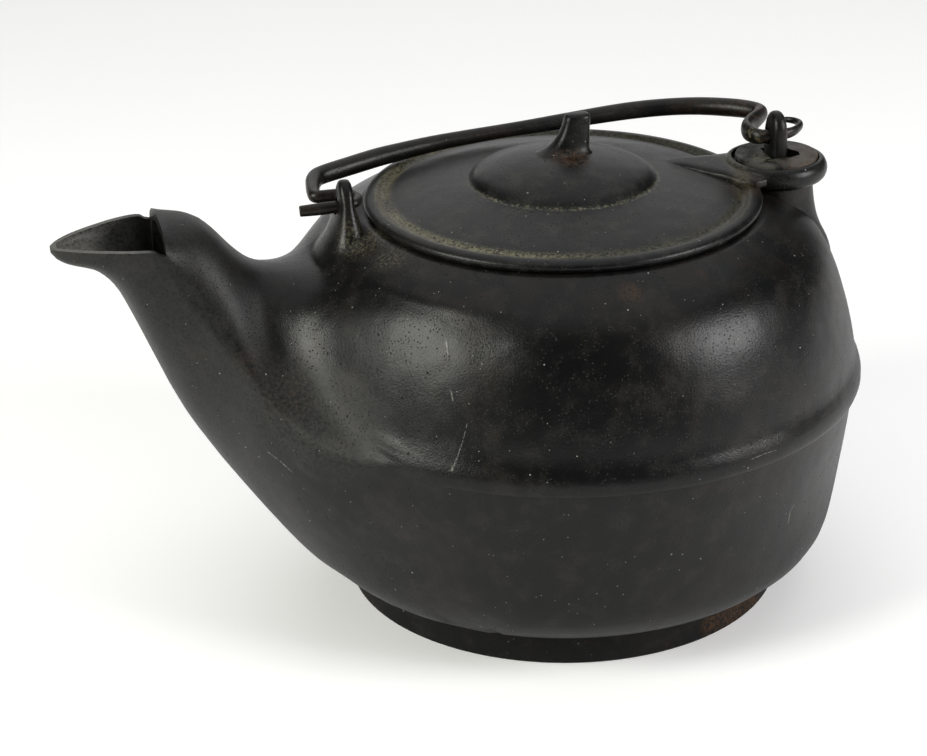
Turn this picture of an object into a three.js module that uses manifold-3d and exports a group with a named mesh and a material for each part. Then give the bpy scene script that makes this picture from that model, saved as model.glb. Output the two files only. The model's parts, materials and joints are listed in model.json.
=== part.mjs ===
// Cast iron fireplace kettle: a round vessel with a hooded spout, a lid that swings
// sideways round its rear ear, a loose keyed washer over that pivot, and a forged bail.
//
// Millimetres, +Z up. The origin is the centre of the flat foot. The spout points to -X,
// both ears stand on the X axis, and the bail lies folded towards +Y, as it was found.

import * as THREE from 'three';
import { mergeVertices } from 'three/addons/utils/BufferGeometryUtils.js';
import Module from 'manifold-3d';

const wasm = await Module();
wasm.setup();

// Foot and lower body
const footRadius = 90.2;
const footHeight = 13;
const footDraft = 0.8;
const footEdge = 1.2;
const bellyRadius = 119;
const bellyHeight = 89;
const wall = 4.2;
const floorThickness = 5.5;

// Moulded ridge round the belly, where the two halves of the mould met
const ridgeProud = 3;
const ridgeBand = 9;

// Shoulder, lid seat and mouth
const seatHeight = 161.4;
const seatRadius = 81.5;
const mouthRadius = 68;

// Spout
const spoutRootReach = 60;
const spoutRootWidth = 97;
const spoutRootDrop = 13;
const hoodReach = 163.5;
const hoodHeight = 173.4;
const hoodWidth = 22;
const rimHeight = 166.6;
const lipReach = 205.5;
const spoutWall = 4;
const lipWall = 2.8;
const creaseLedge = 2.2;
const creaseRise = 5;
const keelHeight = 18.5;

// Ears: how far each stands out from the seat, how far its hole lies above the lid's
// bead, and how far its head rises above the hole
const frontEarSetback = 7.8;
const frontHingeRise = 3.3;
const frontEarCrown = 10.4;
const frontEarThickness = 6.2;
const frontEarWidth = 13.6;
const rearEarSetback = 9.4;
const rearHingeRise = 13.9;
const rearEarCrown = 10;
const rearEarThickness = 5.2;
const rearEarWidth = 11.6;
const earHoleRadius = 3.4;

// Pivot post under the rear ear
const pedestalTopRadius = 15.6;
const pedestalFootRadius = 22.5;
const pedestalDepth = 31;
const hubRadius = 11.5;
const hubHeight = 8.2;

// Washer
const washerRadius = 16.8;
const washerThickness = 2.7;
const washerEdge = 0.5;
const slotPlay = 1.6;

// Lid
const lidSetback = 1.5;
const lidBeadHeight = 4.6;
const lidBeadWidth = 6.4;
const lidPlate = 4.2;
const lidRingWidth = 13;
const discRise = 5.6;
const domeRadius = 38;
const domeRise = 10.6;
const knobHeight = 17;
const knobBaseLength = 23;
const knobTopLength = 8.6;
const knobThickness = 8.4;
const knobLean = 5;
const bossRadius = 21.3;
const bossHeight = 8.4;
const bossLift = 1.3;
const counterboreDepth = 2.3;
const armRootInset = 33;
const armRootWidth = 17;

// Bail
const bailRise = 58;
const bailRodRadius = 3.7;
const bailFrontRodRadius = 2.15;
const bailRearRodRadius = 2.7;
const bailTipRadius = 1.1;
const bailFrontTip = 16;
const bailRearTail = 10.8;
const bailFrontShoulder = 6.6;
const bailFrontTurn = 7;
const bailRearTurn = 9;
const bailFoldAngle = 91;

// Clearances
const seatGap = 0.3;
const swivelGap = 0.7;
const bailGap = 0.5;
const washerGap = 1.2;
const overrun = 6;

// How finely the round shapes are drawn
const turnSteps = 48;
const postSteps = 32;
const arcSteps = 8;
const rodSides = 10;
const earSides = 20;

// Places that follow from the sizes above
const seatTop = seatHeight + seatGap;
const lidRadius = seatRadius - lidSetback;
const beadTop = seatTop + lidBeadHeight;
const armRootX = lidRadius - armRootInset;
const frontEarX = -(seatRadius + frontEarSetback);
const frontHingeHeight = beadTop + frontHingeRise;
const frontEarTop = frontHingeHeight + frontEarCrown;
const rearEarX = seatRadius + rearEarSetback;
const rearHingeHeight = beadTop + rearHingeRise;
const rearEarTop = rearHingeHeight + rearEarCrown;

// A closed body from rings of equal length, capped at both ends
function loft(rings) {
  const count = rings[0].length;
  const positions = rings.flat().flatMap((p) => [p.x, p.y, p.z]);
  const index = [];
  for (let i = 0; i + 1 < rings.length; i += 1) {
    for (let j = 0; j < count; j += 1) {
      const a = i * count + j;
      const b = i * count + ((j + 1) % count);
      index.push(a, b, b + count, a, b + count, a + count);
    }
  }
  for (const [start, flip] of [[0, true], [(rings.length - 1) * count, false]]) {
    const ring = rings[start / count];
    const centre = ring.reduce((sum, p) => sum.add(p), new THREE.Vector3()).divideScalar(count);
    const hub = positions.length / 3;
    positions.push(centre.x, centre.y, centre.z);
    for (let j = 0; j < count; j += 1) {
      const a = start + j;
      const b = start + ((j + 1) % count);
      index.push(hub, flip ? b : a, flip ? a : b);
    }
  }
  const geometry = new THREE.BufferGeometry();
  geometry.setAttribute('position', new THREE.Float32BufferAttribute(positions, 3));
  geometry.setIndex(index);
  return geometry;
}

// A solid for joining and cutting; a body wound inside out is turned round first
function solid(geometry) {
  const bare = geometry.clone();
  bare.deleteAttribute('normal');
  bare.deleteAttribute('uv');
  const merged = mergeVertices(bare);
  const corners = Uint32Array.from(merged.index.array);
  const points = merged.getAttribute('position');
  const a = new THREE.Vector3();
  const b = new THREE.Vector3();
  const c = new THREE.Vector3();
  let volume = 0;
  for (let i = 0; i < corners.length; i += 3) {
    a.fromBufferAttribute(points, corners[i]);
    b.fromBufferAttribute(points, corners[i + 1]);
    c.fromBufferAttribute(points, corners[i + 2]);
    volume += a.dot(b.cross(c));
  }
  if (volume < 0) {
    for (let i = 0; i < corners.length; i += 3) {
      [corners[i], corners[i + 1]] = [corners[i + 1], corners[i]];
    }
  }
  const vertProperties = Float32Array.from(points.array);
  return new wasm.Manifold(new wasm.Mesh({ numProp: 3, vertProperties, triVerts: corners }));
}

function toGeometry(body) {
  const mesh = body.getMesh();
  const geometry = new THREE.BufferGeometry();
  geometry.setAttribute('position', new THREE.BufferAttribute(mesh.vertProperties, 3));
  geometry.setIndex(new THREE.BufferAttribute(mesh.triVerts, 1));
  geometry.computeVertexNormals();
  return geometry;
}

// A solid of revolution round the Z axis from [radius, height] pairs
function turned(outline, steps, x = 0) {
  const points = outline.map(([radius, height]) => new THREE.Vector2(radius, height));
  const geometry = new THREE.LatheGeometry(points, steps);
  geometry.rotateX(Math.PI / 2);
  geometry.translate(x, 0, 0);
  return solid(geometry);
}

// A rounded ring of points in a level plane, squarer as the power rises
function levelRing(x, z, halfX, halfY, power, sides) {
  return Array.from({ length: sides }, (_, i) => {
    const angle = (2 * Math.PI * i) / sides;
    const c = Math.cos(angle);
    const s = Math.sin(angle);
    const bulge = (Math.abs(c) ** power + Math.abs(s) ** power) ** (-1 / power);
    return new THREE.Vector3(x + halfX * c * bulge, halfY * s * bulge, z);
  });
}

function mix(a, b, share) {
  return a + (b - a) * share;
}

// Vessel: outer outline from the foot up to the lid seat, as [radius, height]
const footTop = footRadius + footDraft;
const ridgeTop = bellyHeight + ridgeBand;

// Each pair: share of the way out from the foot to the belly, share of the way up
const underbodyShares = [
  [0.09, 0.02], [0.34, 0.06], [0.56, 0.125], [0.7, 0.19], [0.77, 0.29], [0.83, 0.46], [0.9, 0.62],
  [0.96, 0.78],
];
// Each pair: share of how far the ridge stands proud, share of its height
const ridgeShares = [[0, 0], [0.87, 0.18], [1, 0.36], [0.83, 0.61], [0.43, 1]];
// Each pair: share of the way in from the ridge to the seat, share of the way up
const shoulderShares = [
  [0.036, 0.095], [0.064, 0.19], [0.095, 0.284], [0.14, 0.379], [0.19, 0.473], [0.245, 0.568],
  [0.317, 0.662], [0.415, 0.757], [0.5, 0.82], [0.62, 0.883], [0.755, 0.938], [0.884, 0.978],
  [0.96, 0.994],
];
const ridgeTopRadius = bellyRadius + ridgeProud * ridgeShares.at(-1)[0];

const sideOutline = [
  [footTop, footHeight],
  ...underbodyShares.map(([out, up]) => [
    mix(footTop, bellyRadius, out), mix(footHeight, bellyHeight, up),
  ]),
  ...ridgeShares.map(([out, up]) => [bellyRadius + ridgeProud * out, bellyHeight + ridgeBand * up]),
  ...shoulderShares.map(([inward, up]) => [
    mix(ridgeTopRadius, seatRadius, inward), mix(ridgeTop, seatHeight, up),
  ]),
];

const vesselOutline = [
  [0, 0],
  [footRadius - footEdge, 0],
  [footRadius, footEdge],
  ...sideOutline,
  [seatRadius, seatHeight],
  [0, seatHeight],
];

// The cavity follows the side one wall thickness further in
function inset(outline, depth) {
  return outline.map(([radius, height], i) => {
    const [r0, z0] = outline[Math.max(i - 1, 0)];
    const [r1, z1] = outline[Math.min(i + 1, outline.length - 1)];
    const length = Math.hypot(r1 - r0, z1 - z0);
    return [radius - (depth * (z1 - z0)) / length, height + (depth * (r1 - r0)) / length];
  });
}

const smoothSide = [
  ...sideOutline.slice(0, underbodyShares.length + 1),
  [bellyRadius, bellyHeight],
  [ridgeTopRadius, ridgeTop],
  ...sideOutline.slice(underbodyShares.length + 1 + ridgeShares.length),
];
const cavitySide = inset(smoothSide, wall).filter(([radius]) => radius > mouthRadius);
const cavityOutline = [
  [0, floorThickness],
  [footRadius - wall, floorThickness],
  ...cavitySide,
  [mouthRadius, cavitySide.at(-1)[1]],
  [mouthRadius, seatHeight + overrun],
  [0, seatHeight + overrun],
];

// Spout: each row is one upright section across the spout, as shares of the sizes above.
// [reach from root to hood, half width from hood to root, keel from its lowest point,
// crease from the ridge, and top from the root to the hood, power of the arch above the crease]
const spoutShares = [
  [0, 1, 0.02, -0.007, 0.052, 1.3],
  [0.155, 0.971, 0.012, -0.007, 0.052, 1.3],
  [0.27, 0.854, 0.003, -0.009, 0.04, 1.3],
  [0.386, 0.775, 0, -0.009, 0.027, 1.35],
  [0.464, 0.702, 0.023, 0.004, 0.009, 1.4],
  [0.541, 0.596, 0.074, 0.03, -0.004, 1.5],
  [0.599, 0.483, 0.119, 0.057, -0.004, 1.6],
  [0.657, 0.364, 0.171, 0.11, 0.034, 1.75],
  [0.715, 0.258, 0.225, 0.203, 0.269, 2],
  [0.773, 0.179, 0.28, 0.314, 0.61, 2.15],
  [0.831, 0.113, 0.338, 0.441, 0.87, 2.3],
  [0.889, 0.06, 0.402, 0.573, 0.982, 2.4],
  [0.947, 0.02, 0.472, 0.712, 1, 2.4],
  [1, 0, 0.551, 0.866, 0.988, 2.4],
];
// Each row is one section of the lip beyond the hood:
// [reach from hood to tip, half width of the hood's, keel from its lowest point to the rim]
const lipShares = [
  [0.004, 0.995, 0.585], [0.13, 0.944, 0.673], [0.257, 0.893, 0.763], [0.383, 0.819, 0.853],
  [0.464, 0.772, 0.89], [0.56, 0.698, 0.921], [0.726, 0.549, 0.938], [0.869, 0.386, 0.949],
  [0.964, 0.195, 0.964], [1, 0.07, 0.981],
];
// The most that a steep keel's wall is deepened to stay one wall thick
const spoutSlopeShare = 4;
const lipSlopeShare = 2.8;

const spoutStations = spoutShares.map(([out, width, keel, crease, top, power]) => ({
  reach: mix(spoutRootReach, hoodReach, out),
  width: mix(hoodWidth, spoutRootWidth, width),
  keel: mix(keelHeight, hoodHeight, keel),
  crease: mix(ridgeTop, hoodHeight, crease),
  top: mix(seatHeight - spoutRootDrop, hoodHeight, top),
  power,
}));
const lipStations = lipShares.map(([out, width, keel]) => ({
  reach: mix(hoodReach, lipReach, out),
  width: hoodWidth * width,
  keel: mix(keelHeight, rimHeight, keel),
  crease: rimHeight,
  top: rimHeight,
  power: 2,
}));
const stations = [...spoutStations, ...lipStations];

// One upright section: keel, round flank, small ledge at the crease, then the arch
function spoutRing({ reach, width, keel, crease, top, power }, ledge, rise) {
  const side = [];
  const widest = crease - rise;
  for (let i = 0; i <= arcSteps; i += 1) {
    const angle = (Math.PI / 2) * (i / arcSteps);
    side.push([width * Math.sin(angle), widest - (widest - keel) * Math.cos(angle)]);
  }
  side.push([width - ledge / 3, widest + rise / 2]);
  for (let i = 0; i < arcSteps; i += 1) {
    const angle = (Math.PI / 2) * (i / arcSteps);
    const across = Math.cos(angle) ** (2 / power);
    side.push([(width - ledge) * across, crease + (top - crease) * Math.sin(angle) ** (2 / power)]);
  }
  const half = side.map(([y, z]) => new THREE.Vector3(-reach, -y, z));
  const mirrored = side.slice(1).reverse().map(([y, z]) => new THREE.Vector3(-reach, y, z));
  return [...half, new THREE.Vector3(-reach, 0, top), ...mirrored];
}

function slopeAt(list, i, key) {
  const before = list[Math.max(i - 1, 0)];
  const after = list[Math.min(i + 1, list.length - 1)];
  return (after[key] - before[key]) / (after.reach - before.reach);
}

function spoutOutside() {
  const rings = stations.map((s) => {
    const narrowing = Math.min(1, s.width / hoodWidth);
    return spoutRing(s, Math.min(creaseLedge, s.width / 2), creaseRise * narrowing);
  });
  return solid(loft(rings));
}

// The waterway keeps one wall inside the spout and opens upwards beyond the hood
function spoutInside() {
  const inner = stations.map((s, i) => {
    const overLip = s.reach > hoodReach;
    const depth = overLip ? lipWall : spoutWall;
    const steepest = overLip ? lipSlopeShare : spoutSlopeShare;
    const below = depth * Math.min(Math.hypot(1, slopeAt(stations, i, 'keel')), steepest);
    const above = overLip ? -overrun : depth;
    const keel = s.keel + below;
    const crease = overLip ? s.crease : Math.max(s.crease - depth, keel + depth);
    return { ...s, width: s.width - depth, keel, crease, top: s.top - above };
  });
  const open = inner.filter((s) => s.width > lipWall);
  return solid(loft(open.map((s) => spoutRing(s, 0, creaseRise))));
}

// An upright lug with a rounded head; each row of shares is [height, half x, half y]
const lugShares = [
  [0, 2.6, 2.1], [0.3, 1.9, 1.7], [0.48, 1.15, 1.2], [0.6, 1, 1.02], [0.8, 1, 0.95], [0.91, 0.97, 0.72],
  [1, 0.75, 0.3],
];
const bladeShares = [
  [0, 1, 1], [0.72, 1, 1], [0.83, 1, 0.93], [0.91, 1, 0.76], [0.97, 0.94, 0.5], [1, 0.75, 0.25],
];

function lug(shares, x, foot, top, thickness, width) {
  const rings = shares.map(([up, halfX, halfY]) => (
    levelRing(x, mix(foot, top, up), (halfX * thickness) / 2, (halfY * width) / 2, 3, earSides)
  ));
  return solid(loft(rings));
}

function earHole(x, height) {
  const pin = new THREE.CylinderGeometry(earHoleRadius, earHoleRadius, 2 * bossRadius, postSteps / 2);
  pin.rotateZ(Math.PI / 2);
  pin.translate(x, 0, height);
  return solid(pin);
}

// Each pair: share of the way in from the pedestal's foot to its top, share of the way up
const pedestalShares = [[0.28, 0.22], [0.64, 0.43], [0.88, 0.66]];

function kettleBody() {
  const pedestalFoot = seatHeight - pedestalDepth;
  const pedestal = turned([
    [0, pedestalFoot],
    [pedestalFootRadius, pedestalFoot],
    ...pedestalShares.map(([inward, up]) => [
      mix(pedestalFootRadius, pedestalTopRadius, inward), mix(pedestalFoot, seatHeight, up),
    ]),
    [pedestalTopRadius, seatHeight],
    [0, seatHeight],
  ], postSteps, rearEarX);
  const hubTop = seatHeight + hubHeight;
  const hub = turned([
    [0, seatHeight - overrun], [hubRadius, seatHeight - overrun], [hubRadius, hubTop], [0, hubTop],
  ], postSteps, rearEarX);
  const frontFoot = seatHeight - 2 * overrun;
  const rearFoot = hubTop - overrun / 2;
  const frontEar = lug(lugShares, frontEarX, frontFoot, frontEarTop, frontEarThickness, frontEarWidth);
  const rearEar = lug(bladeShares, rearEarX, rearFoot, rearEarTop, rearEarThickness, rearEarWidth);
  return turned(vesselOutline, turnSteps)
    .add(spoutOutside())
    .add(pedestal)
    .subtract(turned(cavityOutline, turnSteps))
    .subtract(spoutInside())
    .add(hub)
    .add(frontEar)
    .add(rearEar)
    .subtract(earHole(frontEarX, frontHingeHeight))
    .subtract(earHole(rearEarX, rearHingeHeight));
}

// Washer: a loose disc with a slot that keys it on the rear ear
const washerFoot = seatHeight + hubHeight + seatGap;

function swivelWasher() {
  const top = washerFoot + washerThickness;
  const disc = turned([
    [0, washerFoot], [washerRadius - washerEdge, washerFoot], [washerRadius, washerFoot + washerEdge],
    [washerRadius, top - washerEdge], [washerRadius - washerEdge, top], [0, top],
  ], turnSteps * 0.75, rearEarX);
  const slotWidth = rearEarThickness + 2 * slotPlay;
  const slotLength = rearEarWidth + 2 * slotPlay;
  const slot = new THREE.BoxGeometry(slotWidth, slotLength, 2 * overrun);
  slot.translate(rearEarX + slotPlay / 2, 0, washerFoot);
  return disc.subtract(solid(slot));
}

// Lid: plate with a rolled bead, a dome with a fin knob, and an arm ending in the pivot boss
const beadInner = lidRadius - lidBeadWidth;
const discTop = beadTop + discRise;
const domeTop = discTop + domeRise;
const ringInner = lidRadius - lidRingWidth;

// Each pair: share of the dome's radius, share of its rise
const domeShares = [[1.02, 0], [0.99, 0.1], [0.91, 0.34], [0.72, 0.66], [0.45, 0.88], [0.2, 0.98]];

const lidOutline = [
  [0, domeTop - lidPlate],
  ...domeShares.slice(1).reverse().map(([out, up]) => [
    (domeRadius - lidPlate) * out, discTop + domeRise * up - lidPlate,
  ]),
  [domeRadius, discTop - lidPlate],
  [ringInner - lidPlate / 2, seatTop + lidPlate / 2],
  [ringInner, seatTop],
  [lidRadius - 0.3 * lidBeadWidth, seatTop],
  [lidRadius - 0.06 * lidBeadWidth, seatTop + 0.24 * lidBeadHeight],
  [lidRadius, seatTop + 0.5 * lidBeadHeight],
  [lidRadius - 0.1 * lidBeadWidth, seatTop + 0.8 * lidBeadHeight],
  [lidRadius - 0.4 * lidBeadWidth, beadTop],
  [lidRadius - 0.75 * lidBeadWidth, beadTop - 0.06 * lidBeadHeight],
  [beadInner, beadTop - 0.38 * lidBeadHeight],
  [beadInner - 0.25 * lidBeadWidth, beadTop - 0.3 * lidBeadHeight],
  [beadInner - 0.5 * lidBeadWidth, beadTop - 0.06 * lidBeadHeight],
  ...domeShares.map(([out, up]) => [domeRadius * out, discTop + domeRise * up]),
  [0, domeTop],
];

// Each row: [share of the height, share from base to top length, share of the lean, thickness]
const knobShares = [
  [0, -0.2, 0.1, 1.3], [0.1, 0.1, 0.2, 1.05], [0.38, 0.72, 0.75, 0.9], [0.72, 0.94, 0.98, 0.84],
  [0.94, 1, 1, 0.8], [1, 1.25, 1, 0.55],
];

function knob() {
  const foot = domeTop - lidPlate / 3;
  const rings = knobShares.map(([up, taper, lean, thick]) => {
    const length = mix(knobBaseLength, knobTopLength, taper);
    const depth = knobThickness * thick;
    return levelRing(knobLean * lean, foot + knobHeight * up, length / 2, depth / 2, 2.6, earSides);
  });
  return solid(loft(rings));
}

// Each row of the arm, as shares: [way from its root to the pivot, half width, underside, top]
const armShares = [
  [0, 0, 0.55, 0.08], [0.3, 0.25, 0, 0.05], [0.6, 0.55, 0, 0.1], [0.82, 0.9, 0, 0.35], [1, 0.94, 0, 0.5],
];

// Each pair: share of the boss's radius, share of its height
const bossShares = [[0.9, 0], [0.97, 0.17], [1, 0.45], [0.98, 0.7], [0.94, 0.9], [0.88, 1]];

function armAndBoss() {
  const bossFoot = seatTop + bossLift;
  const bossTop = bossFoot + bossHeight;
  const rimWall = washerRadius + washerGap;
  const bore = hubRadius + swivelGap;
  const ledge = bossTop - counterboreDepth;
  const boss = turned([
    [bore - overrun, bossFoot],
    ...bossShares.map(([out, up]) => [bossRadius * out, bossFoot + bossHeight * up]),
    [rimWall, bossTop], [rimWall, ledge], [bore - overrun, ledge], [bore - overrun, bossFoot],
  ], turnSteps * 0.75, rearEarX);
  const armBase = beadTop + lidPlate / 2;
  const rings = armShares.map(([out, width, under, top]) => {
    const x = mix(armRootX, rearEarX, out);
    const half = mix(armRootWidth / 2, bossRadius, width);
    const low = mix(bossFoot, armBase, under);
    const high = mix(armBase, bossTop, top) - seatGap;
    return [
      new THREE.Vector3(x, -half, low), new THREE.Vector3(x, half, low),
      new THREE.Vector3(x, half, mix(low, high, 0.7)), new THREE.Vector3(x, 0.85 * half, high),
      new THREE.Vector3(x, -0.85 * half, high), new THREE.Vector3(x, -half, mix(low, high, 0.7)),
    ];
  });
  const counterbore = turned([
    [0, ledge], [rimWall, ledge], [rimWall, bossTop + overrun], [0, bossTop + overrun],
  ], turnSteps * 0.75, rearEarX);
  const boreCut = turned([
    [0, seatTop - overrun], [bore, seatTop - overrun], [bore, bossTop + overrun], [0, bossTop + overrun],
  ], turnSteps * 0.75, rearEarX);
  return { body: boss.add(solid(loft(rings))), cut: counterbore.add(boreCut) };
}

function lidBody() {
  const { body, cut } = armAndBoss();
  return turned(lidOutline, turnSteps).add(body).add(knob()).subtract(cut);
}

// Bail: one forged rod. Its route is drawn flat: along the hinge line, and up from it.
const hingeStart = new THREE.Vector3(frontEarX, 0, frontHingeHeight);
const hingeEnd = new THREE.Vector3(rearEarX, 0, rearHingeHeight);
const hingeAxis = hingeEnd.clone().sub(hingeStart).normalize();
const hingeHalf = hingeStart.distanceTo(hingeEnd) / 2;

// Each end passes over its ear's head, turns down inside it and runs out through the hole
function bailRoute() {
  const frontPass = frontEarTop - frontHingeHeight + bailFrontRodRadius + bailGap;
  const rearPass = rearEarTop - rearHingeHeight + bailRearRodRadius + bailGap;
  const front = -hingeHalf;
  const rear = hingeHalf;
  const frontEnd = bailFrontRodRadius;
  const rearEnd = bailRearRodRadius;
  return [
    [front - bailFrontTip, 0.1 * frontPass, 0.85 * frontEnd],
    [front - 0.5 * bailFrontTip, 0, frontEnd],
    [front, 0, frontEnd],
    [front + 0.62 * bailFrontTurn, 0.04 * frontPass, frontEnd],
    [front + bailFrontTurn, 0.45 * frontPass, frontEnd],
    [front + 0.66 * bailFrontTurn, 0.94 * frontPass, frontEnd],
    [front, 1.02 * frontPass, frontEnd],
    [front - 0.75 * bailFrontShoulder, 1.12 * frontPass, frontEnd],
    [front - bailFrontShoulder, 0.3 * bailRise, mix(frontEnd, bailRodRadius, 0.4)],
    [front - bailFrontShoulder, 0.48 * bailRise, mix(frontEnd, bailRodRadius, 0.8)],
    [front - 0.35 * bailFrontShoulder, 0.64 * bailRise, bailRodRadius],
    [0.87 * front, 0.78 * bailRise, bailRodRadius],
    [0.71 * front, 0.885 * bailRise, bailRodRadius],
    [0.5 * front, 0.96 * bailRise, bailRodRadius],
    [0.25 * front, bailRise, 0.93 * bailRodRadius],
    [0, bailRise, 0.9 * bailRodRadius],
    [0.3 * rear, bailRise, bailRodRadius],
    [0.55 * rear, 0.965 * bailRise, bailRodRadius],
    [0.75 * rear, 0.89 * bailRise, bailRodRadius],
    [0.89 * rear, 0.77 * bailRise, bailRodRadius],
    [0.97 * rear, 0.64 * bailRise, bailRodRadius],
    [rear, 0.5 * bailRise, mix(rearEnd, bailRodRadius, 0.8)],
    [rear - 0.15 * bailRearTurn, 0.38 * bailRise, mix(rearEnd, bailRodRadius, 0.5)],
    [rear - 0.55 * bailRearTurn, 1.2 * rearPass, mix(rearEnd, bailRodRadius, 0.2)],
    [rear - 0.97 * bailRearTurn, 0.72 * rearPass, rearEnd],
    [rear - bailRearTurn, 0.28 * rearPass, rearEnd],
    [rear - 0.7 * bailRearTurn, 0.03 * rearPass, rearEnd],
    [rear, 0, rearEnd],
    [rear + 0.5 * bailRearTail, 0.04 * rearPass, mix(bailTipRadius, rearEnd, 0.8)],
    [rear + 0.92 * bailRearTail, 0.3 * rearPass, mix(bailTipRadius, rearEnd, 0.6)],
    [rear + 0.93 * bailRearTail, 0.62 * rearPass, mix(bailTipRadius, rearEnd, 0.3)],
    [rear + 0.65 * bailRearTail, 0.82 * rearPass, bailTipRadius],
  ];
}

function bailBody() {
  const route = bailRoute();
  const path = new THREE.CatmullRomCurve3(route.map(([along, up]) => new THREE.Vector3(along, up, 0)));
  const perSpan = 3;
  const spans = route.length - 1;
  const rings = [];
  for (let i = 0; i <= spans * perSpan; i += 1) {
    const t = i / (spans * perSpan);
    const span = Math.min(Math.floor(i / perSpan), spans - 1);
    const radius = mix(route[span][2], route[span + 1][2], i / perSpan - span);
    const centre = path.getPoint(t);
    const tangent = path.getTangent(t);
    const across = new THREE.Vector3(-tangent.y, tangent.x, 0);
    rings.push(Array.from({ length: rodSides }, (_, k) => {
      const angle = (2 * Math.PI * k) / rodSides;
      return centre.clone()
        .addScaledVector(across, radius * Math.cos(angle))
        .add(new THREE.Vector3(0, 0, radius * Math.sin(angle)));
    }));
  }
  const geometry = loft(rings);
  const fold = THREE.MathUtils.degToRad(bailFoldAngle);
  const sideways = new THREE.Vector3(0, 1, 0);
  const upright = new THREE.Vector3().crossVectors(hingeAxis, sideways);
  const rise = upright.multiplyScalar(Math.cos(fold)).addScaledVector(sideways, Math.sin(fold));
  const side = new THREE.Vector3().crossVectors(hingeAxis, rise);
  const middle = hingeStart.clone().add(hingeEnd).divideScalar(2);
  geometry.applyMatrix4(new THREE.Matrix4().makeBasis(hingeAxis, rise, side).setPosition(middle));
  return solid(geometry);
}

// Finishes, from the colours of the seasoned iron
const bodyIron = new THREE.MeshStandardMaterial({ color: 0x1d1d1c, roughness: 0.52, metalness: 0.55 });
const lidIron = new THREE.MeshStandardMaterial({ color: 0x20201f, roughness: 0.55, metalness: 0.55 });
const rustyIron = new THREE.MeshStandardMaterial({ color: 0x5a4a39, roughness: 0.75, metalness: 0.35 });
const wroughtIron = new THREE.MeshStandardMaterial({ color: 0x231f1b, roughness: 0.45, metalness: 0.6 });

function piece(name, body, material) {
  const mesh = new THREE.Mesh(toGeometry(body), material);
  mesh.name = name;
  return mesh;
}

const kettle = new THREE.Group();
kettle.name = 'fireplace_kettle';
kettle.add(piece('kettle_body', kettleBody(), bodyIron));
kettle.add(piece('swivel_washer', swivelWasher(), rustyIron));
kettle.add(piece('swing_lid', lidBody(), lidIron));
kettle.add(piece('bail_handle', bailBody(), wroughtIron));

export default kettle;
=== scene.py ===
# Cast iron fireplace kettle, dressed round its working frame.
# Metres, +Z up, spout to -X, ears on the X axis, bail folded down towards +Y.

import json
import math

import bmesh
import bpy
from mathutils import Matrix, Vector


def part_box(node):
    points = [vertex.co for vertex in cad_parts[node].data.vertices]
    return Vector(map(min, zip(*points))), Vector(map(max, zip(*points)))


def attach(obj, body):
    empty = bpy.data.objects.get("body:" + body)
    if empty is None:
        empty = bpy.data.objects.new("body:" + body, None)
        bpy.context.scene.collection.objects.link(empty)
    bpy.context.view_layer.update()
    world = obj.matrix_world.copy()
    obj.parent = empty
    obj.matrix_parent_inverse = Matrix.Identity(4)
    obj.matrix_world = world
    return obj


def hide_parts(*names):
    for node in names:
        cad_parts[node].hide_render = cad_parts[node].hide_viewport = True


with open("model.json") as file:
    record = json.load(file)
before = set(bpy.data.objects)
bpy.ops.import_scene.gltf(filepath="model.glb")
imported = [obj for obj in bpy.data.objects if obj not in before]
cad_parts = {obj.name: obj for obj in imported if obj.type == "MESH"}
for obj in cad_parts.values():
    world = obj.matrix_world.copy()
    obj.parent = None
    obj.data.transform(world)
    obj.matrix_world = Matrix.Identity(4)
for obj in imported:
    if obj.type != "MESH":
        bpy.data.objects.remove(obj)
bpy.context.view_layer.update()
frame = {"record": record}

MM = 0.001
UP = Vector((0, 0, 1))

# Places that come from the frame, in millimetres
HINGES = {joint["name"]: joint for joint in frame["record"]["behaviour"]["joints"]}
FRONT_HINGE = Vector(HINGES["bail_swing"]["pos_m"]) / MM
BAIL_AXIS = Vector(HINGES["bail_swing"]["axis"]).normalized()
REAR_X = HINGES["lid_swivel"]["pos_m"][0] / MM
REAR_HINGE = FRONT_HINGE + BAIL_AXIS * ((REAR_X - FRONT_HINGE.x) / BAIL_AXIS.x)
WASHER_LOW, WASHER_HIGH = (corner[2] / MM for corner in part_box("swivel_washer"))
LID_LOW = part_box("swing_lid")[0][2] / MM

# Vessel, in millimetres
FOOT_RADIUS = 90.5
FOOT_EDGE = 1.2
FOOT_SIDE = (FOOT_RADIUS + 0.3, 6)
FOOT_ROWS = [12.4, 12.9, 13.5]
WALL = 4.2
LIP_WALL = 2.8
SHOULDER_TOP = 161
SEAT_RADIUS = 81.5
SEAT_HEIGHT = 161.4
MOUTH_RADIUS = 68
HUB_RADIUS = 11.5
HUB_TOP = 169.6
HUB_EDGE = 0.5

# Steps round a full turn: the vessel's outside, its inside with the pedestal and washer, the hub, and the
# drills with the knob and arm
TURN_STEPS = 144
ROUND_STEPS = 96
HUB_STEPS = 72
SMALL_SIDES = 48
# Part of the vessel's grid that opens into the spout: steps to each side, lowest row and highest row
ROOT_STEPS = 24
ROOT_LOW = 14.1
ROOT_HIGH = 151

# Height and radius of the vessel's side, in stretches that meet at crisp corners
UNDERBODY = [(12.4, 91.0), (13.3, 91.5), (14.5, 93.2), (16, 97), (17.8, 101), (20.9, 105), (24.8, 108.6),
             (29.8, 110.9), (36, 112.4), (45.5, 113.9), (57, 115.5), (69.5, 117.2), (80, 118.4),
             (88.7, 118.9)]
RIDGE = [(89.5, 121.5), (91.2, 122.1), (93.5, 122.1), (96, 121.5), (98.5, 120.4), (101, 119.4)]
SHOULDER = [(101, 119.4), (111, 117.6), (122.5, 114.6), (135, 110.4), (145, 105.2), (151.4, 99.2),
            (156.6, 91.4), (161, 82.6)]

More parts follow.
